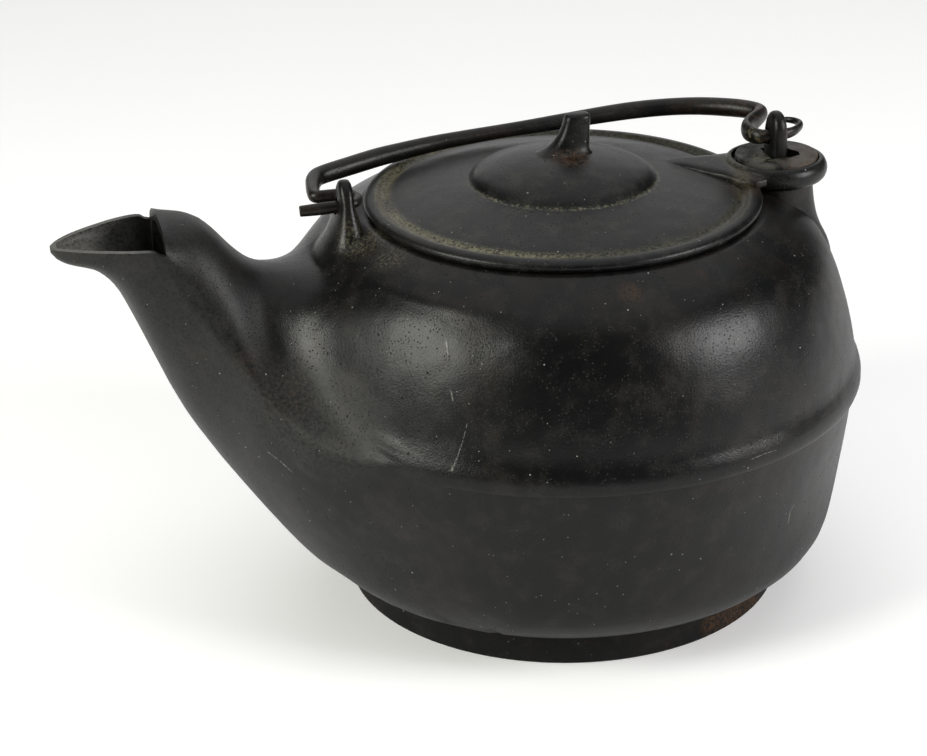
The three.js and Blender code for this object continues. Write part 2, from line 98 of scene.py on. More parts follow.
# Inside: heights of the side's rows, of which the lowest are lifted, and the wall that thickens higher up
FLOOR = 5.5
FLOOR_CORNER = 9
HOLLOW_ROWS = (14, 17, 21, 26, 32, 42, 56, 70, 84, 96, 108, 120, 132, 141, 147, 151, 154)
LOW_ROWS_END = 30
LOW_ROWS_LIFT = 2
THICK_FROM = 132
THICK_RATE = 0.12
UNDER_SEAT = [(78, 157.2), (MOUTH_RADIUS, 158.2)]

# Spout: one upright section in each row, with its reach from the kettle's middle, half width, keel, widest
# height and top
SPOUT = [
    (60, 98, 18, 94, 147), (75, 95.8, 14.5, 94, 147), (88, 84.9, 13.8, 93.4, 147), (100, 74.8, 15, 92, 147),
    (108, 69, 20, 92, 147), (116, 62.5, 28.8, 94, 147.3), (121, 57.2, 35.6, 96.8, 147.9),
    (128, 49.5, 45.2, 103.2, 150.5), (135.5, 41.8, 55.8, 113, 157.4), (140, 36.4, 62.3, 119.8, 163),
    (145, 31.6, 69.8, 127.2, 168.2), (151, 27.4, 79.6, 137.2, 171.6), (155, 25.3, 86.3, 143.2, 172.7),
    (158.5, 24.1, 93, 149.4, 173.1), (163.5, 22.9, 104.2, 160, 173.3),
]
# The spout's pipe above the crease, which flares into the shoulder: reach, half width
PIPE = [(60, 98), (88, 75), (96, 61), (100, 55.2), (104, 50), (108, 45.1), (112, 40.4), (116, 35.8),
        (121, 30.4), (125, 27), (128, 25.6), (134, 25), (140, 24.6), (151, 23.8), (163.5, 22.4)]
# Crease along the spout's widest line: how far it stands in and how high it rises, by reach, and the shares
# of both at its middle line
CREASE_LEDGE = [(60, 2.4), (120, 2.2), (140, 1.6), (150, 1.1), (163.5, 0.5)]
CREASE_RISE = [(60, 5), (120, 5), (150, 4), (163.5, 3)]
CREASE_MIDDLE = (0.3, 0.5)
# How steeply the flare falls from the pipe to the crease, by reach
SKIRT_FALL = [(60, 9), (90, 9), (98, 6.6), (106, 4.4), (114, 3.2), (121, 2.8), (163.5, 2.6)]
# Lip: reach, half width, keel
LIP = [(163.5, 22.9, 104.2), (166, 22.7, 110.5), (170, 22.1, 120.5), (175, 21, 133), (180, 19.3, 144.6),
       (183.5, 17.7, 150.3), (188.5, 15.3, 155.2), (192, 13.4, 156.7), (196.5, 10.6, 157.8),
       (200, 7.9, 158.9), (203, 5, 160.6), (205, 2, 163)]
RIM_HEIGHT = [(163.5, 164.9), (165.4, 165.2), (167.4, 166.6), (172, 167), (190, 166.4), (200, 165.8),
              (205.5, 165)]
# The lip's sides stand upright over this depth or share below its rim, and run on this far above it
LIP_DROP = 3
LIP_DROP_SHARE = 0.4
LIP_SPARE = 7
# Roundness of the sections: 1 is an ellipse, and less is squarer
ROUNDING = 0.85
LIP_ROUNDING = 0.8

# Grid of the spout: where its lines may come out of the vessel, where its sections are whole, and its rings
LEAVING_FROM = 62
LEAVING_TO = 118
LEAVING_GAP = 1.5
FREE_REACH = 121
ROOT_SHARES = (0.12, 0.24, 0.36, 0.48, 0.59, 0.7, 0.8, 0.88)
FREE_SHARES = (0.1, 0.2, 0.32, 0.45, 0.6, 0.75, 0.88, 1)
SPOUT_RINGS = 20
LIP_RINGS = 22
# Where the root is smoothed, clear of the axis: two far corners, rounds, and whether along the spout too
ROOT_CLEARANCE = 84
ROOT_ZONES = [
    ((-122, -104, 102), (-45, 104, 152), 22, True),
    ((-126, -104, 20), (-50, 104, 86), 12, True),
    ((-163, -80, 85), (-90, 80, 168), 3, False),
]

# Channel through the spout: its ends, its rings, the height of its middle as a share of the section's, its
# wall above and below in plain walls, the most that a steep keel thickens the lip's wall, and how far the
# trough stands above the rim
WATERWAY_FROM = 64
WATERWAY_TO = 202.6
WATERWAY_RINGS = 40
WATERWAY_MIDDLE = 0.55
WATERWAY_WALL = 1.15
STEEPEST = 2.4
TROUGH_SPARE = 12

# Cutter over the lip, and the rounding of the edges that it leaves
CUTTER_TOP = 195
CUTTER_HALF_WIDTH = 40
CUTTER_SPARE = 4
CUTTER_RINGS = 24
CRISP_ANGLE = math.radians(40)
CRISP_BEFORE = -163.2
CRISP_ABOVE = 140
CRISP_ROUND = 0.7

# Ears: height, half thickness along X, half width along Y
FRONT_EAR = [(143, 17, 24), (147, 14, 21), (151, 11.4, 18), (155, 9, 15.2), (159, 7, 12.8), (163, 5.4, 11),
             (166, 4.5, 9.8), (170, 3.5, 8.2), (174, 3.2, 6.8), (176.5, 3, 5.3), (178.4, 2.6, 3.8),
             (179.6, 2, 2.2), (180, 1.2, 1)]
REAR_EAR = [(166, 3.8, 6.8), (172, 3.8, 6.8), (178, 3.8, 6.8), (182, 3.7, 6.7), (185, 3.4, 6.2),
            (187.4, 3, 5.2), (189, 2.4, 3.9), (189.9, 1.7, 2.4), (190.2, 1, 1)]
EAR_HOLE = 3.4
EAR_POWER = 2.6
EAR_SIDES = 40
EAR_RINGS = 18
EAR_DRILL = 40
# Where the front ear's foot is smoothed: two far corners, rounds, and how far under the shoulder's skin
EAR_ZONE = ((-114, -30, 143), (-84.5, 30, 163), 8)
EAR_ZONE_DEPTH = 1
# Pedestal under the lid's pivot: radius, height
PEDESTAL = [(24.6, 120), (24.6, 127), (24.1, 131.5), (22.6, 136), (20, 141), (18, 146), (16.8, 151),
            (16, 156.5), (15.6, SEAT_HEIGHT)]
PEDESTAL_RINGS = 18

# Lid: radius and height above its underside, from the foot of the rim over its bead and groove
LID_RIM = [(66, 0), (78.1, 0), (79.2, 0.4), (79.8, 1.3), (80, 2.2), (79.75, 3), (79.1, 3.7), (77.8, 4.3),
           (76.2, 4.6), (74.9, 4.5), (74.2, 4.1), (73.6, 3.6), (72.9, 3.25), (72, 3.15), (71.2, 3.35),
           (70.4, 3.75), (69.4, 4.2), (68, 4.65)]
LID_CROWN = [(60, 6.25), (50, 8.1), (42, 9.5), (38.6, 10.1), (37.6, 10.4), (36.8, 11.2), (35.6, 12.5),
             (33.4, 14), (30.4, 15.4), (26.4, 16.9), (21.5, 18.4), (16.5, 19.5), (11, 20.3), (5, 20.7),
             (0, 20.8)]
LID_STEPS = 192
# Radii of the rings over the crown and under it, each from, to and how many steps
CROWN_RINGS = [(60, 42, 6), (40, 34, 12), (33, 0, 14)]
UNDER_RINGS = (0, 40, 10)
UNDER_SHARE = 0.9
LID_WALL = 4.2
# Fin knob: height above the lid's underside, length, thickness, place along X
KNOB = [(18.2, 27, 20, 0), (19.6, 24.6, 16, 0.2), (20.8, 21.2, 12.8, 0.9), (22.4, 17.6, 10.4, 2.1),
        (24.4, 15, 9.2, 3.4), (27, 12.9, 8.6, 4.5), (29.8, 11.6, 8.2, 5.2), (32.4, 10.8, 7.8, 5.7),
        (34.4, 10.4, 7.4, 6), (35.5, 9.8, 6.8, 6.1), (36.1, 8.6, 5.6, 6.1), (36.4, 6.6, 3.8, 6.1)]
KNOB_POWER = 2.8
KNOB_RINGS = 22
# Arm from the disc to the pivot: place along X, place and half width along Y, underside and top above the
# lid's underside
ARM = [(47, 10, 2.5, 5, 8.1), (51, 9.4, 4.4, 4, 8.6), (56, 7.6, 7.2, 3, 8.8), (60, 6, 9.6, 2.4, 8.7),
       (65, 4, 12.4, 1.8, 8.5), (69, 1, 15.9, 1.4, 8.4), (74, -1, 18.2, 1.3, 8.5),
       (79, -0.8, 18.1, 1.5, 8.6), (83.5, -0.4, 16.4, 1.8, 8.4), (87, 0, 14.5, 2.2, 8)]
ARM_POWER = 3
ARM_RINGS = 26
# Pivot boss round the hub: share of its radius, share of its height
BOSS_RADIUS = 21.3
BOSS_LIFT = 1.3
BOSS_HEIGHT = 8.4
BOSS = [(0.86, 0), (0.93, 0.05), (0.97, 0.17), (0.995, 0.34), (1, 0.5), (0.99, 0.66), (0.965, 0.81),
        (0.93, 0.93), (0.89, 0.99), (0.86, 1)]
BOSS_STEPS = 120
# Counterbore for the washer and bore for the hub, the lengths of their drills, and how far inside the bore
# the boss begins
COUNTERBORE_RADIUS = 18
COUNTERBORE_DEPTH = 2.3
COUNTERBORE_DRILL = 20
BORE_RADIUS = 12.2
BORE_DRILL = 30
BORE_SPARE = 5

# Washer: its edge past the radius and above its underside or its top, and its slot along X and Y
WASHER_RADIUS = 16.8
WASHER_SHIFT = 0.55
WASHER_FOOT = [(-0.5, 0), (0, 0.5)]
WASHER_BROW = [(0.05, -0.8), (-0.25, -0.2), (-0.9, 0)]
SLOT_SPARE = 2
SLOT = [(-4.1, -7.2), (4, -7.3), (8.6, -5.4), (9.4, -2), (5.2, 7), (-4.1, 7.1)]

# Bail: place along the hinge line from its middle, rise from it, radius in the bail's plane and across it
FRONT_END = -90.26
REAR_END = 90.26
BAIL_FOLD = math.radians(91)
BAIL = [
    (FRONT_END - 18, 1.3, 2, 2.2), (FRONT_END - 8, 0, 2.2, 2.5), (FRONT_END, 0, 2.1, 2.1),
    (FRONT_END + 4, 0.5, 1.95, 1.95), (FRONT_END + 6.4, 5.9, 1.9, 1.9), (FRONT_END + 4.2, 12.2, 1.95, 2.1),
    (FRONT_END, 13.4, 1.9, 2.4), (FRONT_END - 5, 13.9, 2, 2.6), (FRONT_END - 8.4, 15, 2.5, 2.6),
    (FRONT_END - 8.8, 18.2, 2.6, 2.7), (FRONT_END - 7.2, 27.4, 2.9, 3.1), (FRONT_END - 4.6, 35.6, 3.6, 3.6),
    (-90.6, 39.8, 3.9, 3.8), (-78.2, 45, 4, 3.9), (-66, 49.8, 4, 3.9), (-55.3, 52.6, 3.75, 3.75),
    (-41.4, 55.8, 3.4, 3.4), (-28.2, 57.2, 3.15, 3.15), (-10.6, 58, 2.95, 2.95), (2.5, 58.1, 3.05, 3.05),
    (20, 58.4, 3.35, 3.35), (38.2, 58.6, 3.6, 3.6), (51.3, 57.7, 3.7, 3.7), (63.8, 54.9, 3.7, 3.7),
    (75.4, 49.9, 3.8, 3.8), (86, 42, 3.9, 3.9), (92.2, 35.4, 3.8, 3.8), (94.6, 29.6, 3.3, 3.6),
    (90.6, 23, 2.6, 4), (85.4, 17.4, 2.4, 4.2), (81.9, 11.4, 2.4, 4.1), (82, 4.4, 2.4, 3.6),
    (84.6, 0.5, 2.5, 3), (REAR_END, 0, 2.6, 2.6), (REAR_END + 5.4, -0.2, 1.6, 2.2), (100, 2.4, 1.35, 1.9),
    (103.8, 7.4, 1.2, 1.7), (103.9, 12, 1.1, 1.5), (101.6, 15.6, 1, 1.3), (97.6, 17.6, 0.9, 1),
]
# Sides of the rod, rings from row to row, and the rounding of its cut ends
ROD_SIDES = 24
ROD_SPAN = 6
ROD_ROUND = 0.5
# Corners closer than this are merged
TOUCHING = 0.001


def smooth_curve(rows, column=1):
    """A function that runs smoothly through the rows' values at their first number."""
    xs = [row[0] for row in rows]
    ys = [row[column] for row in rows]
    slopes = []
    for i in range(len(xs)):
        a, b = max(i - 1, 0), min(i + 1, len(xs) - 1)
        slopes.append((ys[b] - ys[a]) / (xs[b] - xs[a]))

    def value(x):
        x = min(max(x, xs[0]), xs[-1])
        i = max(j for j in range(len(xs) - 1) if xs[j] <= x)
        h = xs[i + 1] - xs[i]
        t = (x - xs[i]) / h
        rise = ys[i + 1] - ys[i]
        a = slopes[i] * h - rise
        b = rise - slopes[i + 1] * h
        return ys[i] + rise * t + t * (1 - t) * (a * (1 - t) + b * t)

    return value


def mix(a, b, t):
    return a + (b - a) * t


def steps(start, end, count):
    """The start, the end and the values between them, the count of steps apart."""
    return [mix(start, end, i / count) for i in range(count + 1)]


# Mesh tools: every shape is made in millimetres and put down in metres

def new_mesh(name, bm):
    bmesh.ops.scale(bm, vec=(MM, MM, MM), verts=bm.verts)
    mesh = bpy.data.meshes.new(name)
    bm.to_mesh(mesh)
    bm.free()
    return mesh


def new_piece(name, bm, body, material, sharp=35):
    mesh = new_mesh(name, bm)
    piece = bpy.data.objects.new(name, mesh)
    bpy.context.scene.collection.objects.link(piece)
    for polygon in mesh.polygons:
        polygon.use_smooth = True
    mesh.set_sharp_from_angle(angle=math.radians(sharp))
    mesh.materials.append(material)
    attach(piece, body)
    return piece


def edge_between(a, b):
    return next(edge for edge in a.link_edges if edge.other_vert(a) is b)


def ring_edges(ring):
    return [edge_between(ring[i], ring[(i + 1) % len(ring)]) for i in range(len(ring))]


def first_ring(bm, places):
    ring = [bm.verts.new(place) for place in places]
    for i, vert in enumerate(ring):
        bm.edges.new((vert, ring[(i + 1) % len(ring)]))
    return ring


def grow(bm, ring, places):
    """Pulls the ring out once more, puts its corners at the places and returns them."""
    made = bmesh.ops.extrude_edge_only(bm, edges=ring_edges(ring))["geom"]
    fresh = {item for item in made if isinstance(item, bmesh.types.BMVert)}
    out = [next(e.other_vert(v) for e in v.link_edges if e.other_vert(v) in fresh) for v in ring]
    for vert, place in zip(out, places):
        vert.co = place
    return out


def loft(rings):
    """A closed solid through rings of places."""
    bm = bmesh.new()
    ring = first_ring(bm, rings[0])
    bm.faces.new(ring)
    for places in rings[1:]:
        ring = grow(bm, ring, places)
    bm.faces.new(ring)
    bmesh.ops.recalc_face_normals(bm, faces=bm.faces)
    return bm


def turned(outline, count=TURN_STEPS, x=0):
    """A closed solid of revolution from (radius, height) pairs that close or end on the axis."""
    bm = bmesh.new()
    verts = [bm.verts.new((x + r, 0, z)) for r, z in outline]
    edges = [bm.edges.new(pair) for pair in zip(verts, verts[1:])]
    bmesh.ops.spin(bm, geom=verts + edges, cent=(x, 0, 0), axis=UP, angle=2 * math.pi, steps=count,
                   use_merge=True)
    bmesh.ops.remove_doubles(bm, verts=bm.verts, dist=TOUCHING)
    bmesh.ops.recalc_face_normals(bm, faces=bm.faces)
    return bm


def level_ring(x, z, half_x, half_y, power, sides):
    """A rounded ring of places in a level plane, squarer as the power rises."""
    places = []
    for i in range(sides):
        turn = 2 * math.pi * i / sides
        c, s = math.cos(turn), math.sin(turn)
        bulge = (abs(c) ** power + abs(s) ** power) ** (-1 / power)
        places.append(Vector((x + half_x * c * bulge, half_y * s * bulge, z)))
    return places


def drilled(x, y, z, radius, length, axis="Z"):
    """A round cutter centred at a place."""
    bm = bmesh.new()
    turn = {"X": Matrix.Rotation(math.pi / 2, 4, "Y"), "Z": Matrix.Identity(4)}[axis]
    bmesh.ops.create_cone(bm, cap_ends=True, segments=SMALL_SIDES, radius1=radius, radius2=radius,
                          depth=length, matrix=Matrix.Translation((x, y, z)) @ turn)
    return bm


def helper_object(bm, name):
    mesh = bpy.data.meshes.new(name)
    bm.to_mesh(mesh)
    bm.free()
    piece = bpy.data.objects.new(name, mesh)
    bpy.context.scene.collection.objects.link(piece)
    return piece


def soften(bm, low, high, outside, rounds, lengthwise=True):
    """Smooths the corners between two places and beyond the radius that outside gives for their height."""
    zone = [vert for vert in bm.verts
            if all(a < b < c for a, b, c in zip(low, vert.co, high))
            and math.hypot(vert.co.x, vert.co.y) > outside(vert.co.z)]
    for _ in range(rounds):
        bmesh.ops.smooth_vert(bm, verts=zone, factor=0.5, use_axis_x=lengthwise, use_axis_y=True,
                              use_axis_z=True)


def combine(bm, *jobs):
    """The bmesh after each (operation, tool bmesh) in turn, by exact booleans."""
    piece = helper_object(bm, "work")
    helpers = [piece]
    for operation, tool in jobs:
        helper = helper_object(tool, "tool")
        helpers.append(helper)
        modifier = piece.modifiers.new("join", "BOOLEAN")
        modifier.operation = operation
        modifier.solver = "EXACT"
        modifier.object = helper
    depsgraph = bpy.context.evaluated_depsgraph_get()
    out = bmesh.new()
    out.from_mesh(piece.evaluated_get(depsgraph).to_mesh())
    for helper in helpers:
        mesh = helper.data
        bpy.data.objects.remove(helper)
        bpy.data.meshes.remove(mesh)
    return out


# Vessel

underbody_at = smooth_curve(UNDERBODY)
ridge_at = smooth_curve(RIDGE)
shoulder_at = smooth_curve(SHOULDER)


def side_radius(z):
    """The vessel's radius at a height."""
    if z <= UNDERBODY[-1][0]:
        return underbody_at(z)
    if z < RIDGE[0][0]:
        share = (z - UNDERBODY[-1][0]) / (RIDGE[0][0] - UNDERBODY[-1][0])
        return mix(UNDERBODY[-1][1], RIDGE[0][1], share)
    return ridge_at(z) if z <= RIDGE[-1][0] else shoulder_at(z)


# Heights of the grid rows that the spout grows from
LOW_ROWS = steps(ROOT_LOW, UNDERBODY[-1][0], 16)
WIDEST_ROW = 94
CREASE_ROW = 99
RIDGE_ROWS = [89.5, 91.2, WIDEST_ROW, 96.5, CREASE_ROW, 101]
HIGH_ROWS = steps(RIDGE_ROWS[-1], ROOT_HIGH, 14)[1:]
ROOT_ROWS = LOW_ROWS + RIDGE_ROWS + HIGH_ROWS
WIDEST_LINE = ROOT_STEPS + ROOT_ROWS.index(WIDEST_ROW)
CREASE_LINE = ROOT_STEPS + ROOT_ROWS.index(CREASE_ROW)
HALF_LINES = 2 * ROOT_STEPS + len(ROOT_ROWS) - 1
LINES = 2 * HALF_LINES
HIGH_LINES = HALF_LINES - CREASE_LINE
ROOT_TURN = 2 * math.pi * ROOT_STEPS / TURN_STEPS
HOOD_REACH = SPOUT[-1][0]
# How far round the section, in degrees from the keel, each line below the crease lies
LOW_TURNS = [86.4 * i / (WIDEST_LINE - 3) for i in range(WIDEST_LINE - 2)] + [87.2, 88.6, 90]


def vessel_outline():
    """The outside's radius and height, from the middle of the foot to the middle of the seat."""
    edge = 0.3 * FOOT_EDGE
    foot = [(0, 0), (FOOT_RADIUS - FOOT_EDGE, 0), (FOOT_RADIUS - edge, edge), (FOOT_RADIUS, FOOT_EDGE),
            FOOT_SIDE]
    side = [(side_radius(z), z) for z in FOOT_ROWS + ROOT_ROWS]
    upper = [(side_radius(z), z) for z in steps(ROOT_HIGH, SHOULDER_TOP, 8)[1:]]
    return foot + side + upper + [(SEAT_RADIUS, SEAT_HEIGHT), (0, SEAT_HEIGHT)]


class Sections:
    """The spout's and lip's sizes at a reach."""
    width, keel, widest, top = (smooth_curve(SPOUT, column) for column in range(1, 5))
    lip_width, lip_keel = (smooth_curve(LIP, column) for column in (1, 2))
    ledge, rise = smooth_curve(CREASE_LEDGE), smooth_curve(CREASE_RISE)
    pipe, fall, rim = smooth_curve(PIPE), smooth_curve(SKIRT_FALL), smooth_curve(RIM_HEIGHT)


def section_point(reach, line):
    """Half width and height of one grid line on the spout's section."""
    width, keel, widest = Sections.width(reach), Sections.keel(reach), Sections.widest(reach)
    if line <= WIDEST_LINE:
        turn = math.radians(LOW_TURNS[line])
        return width * math.sin(turn), widest - (widest - keel) * math.cos(turn)
    ledge, rise = Sections.ledge(reach), Sections.rise(reach)
    if line < CREASE_LINE:
        return width - CREASE_MIDDLE[0] * ledge, widest + CREASE_MIDDLE[1] * rise
    turn = math.radians(90 * (line - CREASE_LINE) / HIGH_LINES)
    crease, top = widest + rise, Sections.top(reach)
    pipe = min(Sections.pipe(reach), width - ledge)
    lift = (top - crease) * math.sin(turn) ** ROUNDING
    skirt = (width - ledge - pipe) * (1 - math.sin(turn)) ** Sections.fall(reach)
    return pipe * max(math.cos(turn), 0) ** ROUNDING + skirt, crease + lift


def lip_point(reach, line):
    """The same for the lip, whose section is made too tall and is cut off at the rim later."""
    width, keel, rim = Sections.lip_width(reach), Sections.lip_keel(reach), Sections.rim(reach)
    drop = min(LIP_DROP, LIP_DROP_SHARE * (rim - keel))
    if line <= WIDEST_LINE:
        turn = math.radians(LOW_TURNS[line])
        return width * math.sin(turn), rim - drop - (rim - drop - keel) * math.cos(turn)
    if line < CREASE_LINE:
        return width, rim - drop + drop * (line - WIDEST_LINE) / (CREASE_LINE - WIDEST_LINE)
    turn = math.radians(90 * (line - CREASE_LINE) / HIGH_LINES)
    across = width * max(math.cos(turn), 0) ** LIP_ROUNDING
    return across, rim + LIP_SPARE * math.sin(turn) ** LIP_ROUNDING


def line_of(index):
    """A ring corner's grid line, from the keel up, and its side of the kettle."""
    return (index, -1) if index <= HALF_LINES else (LINES - index, 1)


def ring_at(point, reach_of):
    """One ring of the spout's grid, with each line's place at its own reach."""
    places = []
    for index in range(LINES):
        line, side = line_of(index)
        reach = reach_of(line)
        across, height = point(reach, line)
        places.append(Vector((-reach, side * across, height)))
    return places


def leaving_reach(line):
    """Where one of the spout's grid lines comes out of the vessel."""
    inside = [LEAVING_FROM]
    for reach in steps(LEAVING_FROM, LEAVING_TO, 2 * (LEAVING_TO - LEAVING_FROM)):
        across, height = section_point(reach, line)
        if math.hypot(reach, across) < side_radius(height):
            inside.append(reach)
    return inside[-1]


def averaged(values, rounds):
    """The values, each evened out with its neighbours a few times."""
    for _ in range(rounds):
        groups = [values[max(i - 1, 0):i + 2] for i in range(len(values))]
        values = [sum(group) / len(group) for group in groups]
    return values


def root_boundary(line):
    """Share of the root's turn, and height, of the opening's edge in the vessel's grid."""
    if line <= ROOT_STEPS:
        return line / ROOT_STEPS, ROOT_ROWS[0]
    if line < ROOT_STEPS + len(ROOT_ROWS) - 1:
        return 1, ROOT_ROWS[line - ROOT_STEPS]
    return (HALF_LINES - line) / ROOT_STEPS, ROOT_ROWS[-1]


def on_side(turn, height, side):
    """A place on the vessel's skin, by its turn from the spout."""
    radius = side_radius(height)
    return Vector((-radius * math.cos(turn), side * radius * math.sin(turn), height))


def root_places(leaving, t):
    """One ring on the vessel's skin, a share of the way from the opening's edge to the spout's lines."""
    places = []
    for index in range(LINES):
        line, side = line_of(index)
        share, height = root_boundary(line)
        across, up = section_point(leaving[line], line)
        end_turn = math.atan2(across, leaving[line])
        places.append(on_side(mix(share * ROOT_TURN, end_turn, t), mix(height, up, t), side))
    return places


def vessel_skin():
    """The outside of the vessel and spout, with the spout grown out of the vessel's own grid."""
    bm = turned(vessel_outline())
    inside = []
    for face in bm.faces:
        centre = face.calc_center_median()
        turn = abs(math.atan2(centre.y, -centre.x))
        outer = math.hypot(centre.x, centre.y) > 0.5 * MOUTH_RADIUS
        if turn < ROOT_TURN and ROOT_LOW < centre.z < ROOT_HIGH and outer:
            inside.append(face)
    bmesh.ops.delete(bm, geom=inside, context="FACES")
    border = {vert for edge in bm.edges if edge.is_boundary for vert in edge.verts}
    ring = []
    for index in range(LINES):
        line, side = line_of(index)
        share, height = root_boundary(line)
        place = on_side(share * ROOT_TURN, height, side)
        ring.append(min(border, key=lambda vert: (vert.co - place).length))
    leaving = averaged([leaving_reach(line) for line in range(HALF_LINES + 1)], 3)
    for t in ROOT_SHARES:
        ring = grow(bm, ring, root_places(leaving, t))
    for t in FREE_SHARES:
        reaches = [mix(reach + LEAVING_GAP, FREE_REACH, t) for reach in leaving]
        ring = grow(bm, ring, ring_at(section_point, lambda line: reaches[line]))
    for reach in steps(FREE_REACH, HOOD_REACH, SPOUT_RINGS)[1:]:
        ring = grow(bm, ring, ring_at(section_point, lambda line: reach))
    for reach in steps(HOOD_REACH, LIP[-1][0], LIP_RINGS)[1:]:
        ring = grow(bm, ring, ring_at(lip_point, lambda line: reach))
    bm.faces.new(ring)
    for low, high, rounds, lengthwise in ROOT_ZONES:
        soften(bm, low, high, lambda height: ROOT_CLEARANCE, rounds, lengthwise)
    bmesh.ops.recalc_face_normals(bm, faces=bm.faces)
    return bm


def vessel_hollow():
    """The cavity, open upwards through the mouth."""
    floor = [(0, FLOOR), (FOOT_RADIUS - WALL, FLOOR), (FOOT_RADIUS - 0.6 * WALL, FLOOR_CORNER)]
    side = []
    for z in HOLLOW_ROWS:
        wall = WALL + THICK_RATE * max(0, z - THICK_FROM)
        side.append((side_radius(z) - wall, z + (LOW_ROWS_LIFT if z < LOW_ROWS_END else 0)))
    top = SEAT_HEIGHT + WALL
    return turned([*floor, *side, *UNDER_SEAT, (MOUTH_RADIUS, top), (0, top)], ROUND_STEPS)


def waterway():
    """The channel through the spout, open upwards over the lip."""
    def inner(reach, line):
        across, height = section_point(reach, line)
        keel, top = Sections.keel(reach), Sections.top(reach)
        middle = mix(keel, top, WATERWAY_MIDDLE)
        lift = 1 - WATERWAY_WALL * WALL / (0.5 * (top - keel))
        return across * (1 - WALL / Sections.width(reach)), middle + (height - middle) * lift

    def trough(reach, line):
        width, rim = Sections.lip_width(reach) - LIP_WALL, Sections.rim(reach)
        slope = (Sections.lip_keel(reach + 1) - Sections.lip_keel(reach - 1)) / 2
        wall = LIP_WALL * min(math.hypot(1, slope), STEEPEST)
        keel = min(Sections.lip_keel(reach) + wall, rim - 1)
        if line <= WIDEST_LINE:
            turn = math.radians(LOW_TURNS[line])
            return width * math.sin(turn), rim - (rim - keel) * math.cos(turn)
        turn = math.radians(90 * (line - WIDEST_LINE) / (HALF_LINES - WIDEST_LINE))
        return width * math.cos(turn), rim + TROUGH_SPARE

    pipe_reaches = steps(WATERWAY_FROM, HOOD_REACH - 0.2, WATERWAY_RINGS)
    trough_reaches = steps(HOOD_REACH, WATERWAY_TO, LIP_RINGS)
    rings = [ring_at(inner, lambda line: reach) for reach in pipe_reaches]
    rings += [ring_at(trough, lambda line: reach) for reach in trough_reaches]
    return loft(rings)


def over_lip():
    """A cutter for all that stands above the lip's rim."""
    reaches = steps(HOOD_REACH, LIP[-1][0] + CUTTER_SPARE, CUTTER_RINGS)
    outline = [(-reach, Sections.rim(reach)) for reach in reaches]
    outline += [(-reaches[-1], CUTTER_TOP), (-HOOD_REACH, CUTTER_TOP)]
    sides = (-CUTTER_HALF_WIDTH, CUTTER_HALF_WIDTH)
    return loft([[Vector((x, y, z)) for x, z in outline] for y in sides])


def ear(rows, x):
    """One ear for the bail, upright on the kettle's long axis."""
    half_x, half_y = smooth_curve(rows), smooth_curve(rows, 2)
    heights = steps(rows[0][0], rows[-3][0], EAR_RINGS) + [row[0] for row in rows[-2:]]
    return loft([level_ring(x, z, half_x(z), half_y(z), EAR_POWER, EAR_SIDES) for z in heights])


def soften_mouth(bm):
    """Rounds the crisp edges that the cuts leave round the hood and the lip."""
    crisp = [edge for edge in bm.edges
             if edge.is_manifold and edge.calc_face_angle() > CRISP_ANGLE
             and all(vert.co.x < CRISP_BEFORE and vert.co.z > CRISP_ABOVE for vert in edge.verts)]
    bmesh.ops.bevel(bm, geom=crisp, offset=CRISP_ROUND, segments=3, profile=0.5, affect="EDGES",
                    clamp_overlap=True, material=-1)


def vessel(iron):
    pedestal = smooth_curve([(z, r) for r, z in PEDESTAL])
    low, high = PEDESTAL[0][1], PEDESTAL[-1][1]
    post_side = [(pedestal(z), z) for z in steps(low, high, PEDESTAL_RINGS)]
    post = turned([(0, low), *post_side, (0, high)], ROUND_STEPS, REAR_X)
    hub_low = SEAT_HEIGHT - WALL
    hub = turned([(0, hub_low), (HUB_RADIUS, hub_low), (HUB_RADIUS, HUB_TOP - HUB_EDGE),
                  (HUB_RADIUS - HUB_EDGE, HUB_TOP), (0, HUB_TOP)], HUB_STEPS, REAR_X)
    bm = combine(
        vessel_skin(), ("UNION", post), ("DIFFERENCE", vessel_hollow()), ("DIFFERENCE", waterway()),
        ("DIFFERENCE", over_lip()),
        ("UNION", hub), ("UNION", ear(FRONT_EAR, FRONT_HINGE.x)), ("UNION", ear(REAR_EAR, REAR_X)),
        ("DIFFERENCE", drilled(FRONT_HINGE.x, 0, FRONT_HINGE.z, EAR_HOLE, EAR_DRILL, "X")),
        ("DIFFERENCE", drilled(REAR_X, 0, REAR_HINGE.z, EAR_HOLE, EAR_DRILL, "X")))
    ear_low, ear_high, ear_rounds = EAR_ZONE
    soften(bm, ear_low, ear_high, lambda height: side_radius(height) - EAR_ZONE_DEPTH, ear_rounds)
    soften_mouth(bm)
    piece = new_piece("vessel", bm, "kettle", iron)
    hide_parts("kettle_body")


# Lid

def lid_plate():
    """The lid's disc with its bead, groove and dome, hollow underneath."""
    rim = [(r, LID_LOW + z) for r, z in LID_RIM]
    crown = smooth_curve([(-r, z) for r, z in LID_CROWN])
    radii = [r for row in CROWN_RINGS for r in steps(*row)]
    top = [(r, LID_LOW + crown(-r)) for r in radii]
    under = [(r * UNDER_SHARE, LID_LOW + crown(-r) - LID_WALL) for r in steps(*UNDER_RINGS)]
    return turned([*under, *rim, *top], LID_STEPS)


def knob():
    length, depth, place = (smooth_curve(KNOB, column) for column in (1, 2, 3))
    heights = steps(KNOB[0][0], KNOB[-3][0], KNOB_RINGS) + [row[0] for row in KNOB[-2:]]
    return loft([level_ring(place(z), LID_LOW + z, length(z) / 2, depth(z) / 2, KNOB_POWER, SMALL_SIDES)
                 for z in heights])


